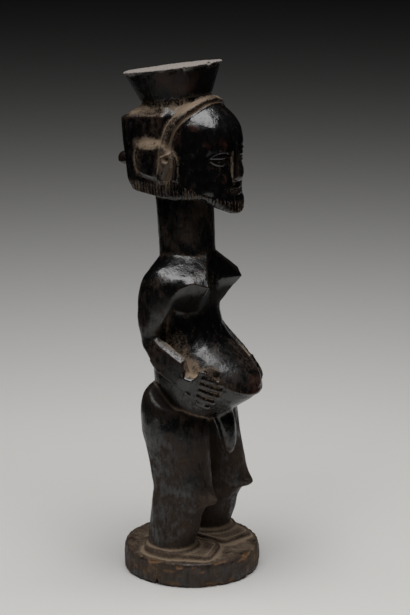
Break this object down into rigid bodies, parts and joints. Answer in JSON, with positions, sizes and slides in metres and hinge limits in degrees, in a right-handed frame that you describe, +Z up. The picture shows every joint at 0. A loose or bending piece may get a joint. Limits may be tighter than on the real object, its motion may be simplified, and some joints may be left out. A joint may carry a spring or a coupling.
{
  "type": "ancestor figure",
  "caption": "Carved wooden standing figure on a round base, hands on a full belly, with block-shaped banded hair, a flared cap, pointed chest and bent knees.",
  "frame": {"origin": "centre of the round base's flat underside", "axes": "+Z up along the figure; the figure faces -Y, its left hand is on +X"},
  "size_m": [0.098, 0.116, 0.3683],
  "materials": {
    "dark_hardwood": "near-black oiled patina, glossy where handled, dull brown on the base"
  },
  "bodies": {
    "root": {"ancestor_figure": "dark_hardwood"}
  },
  "joints": []
}
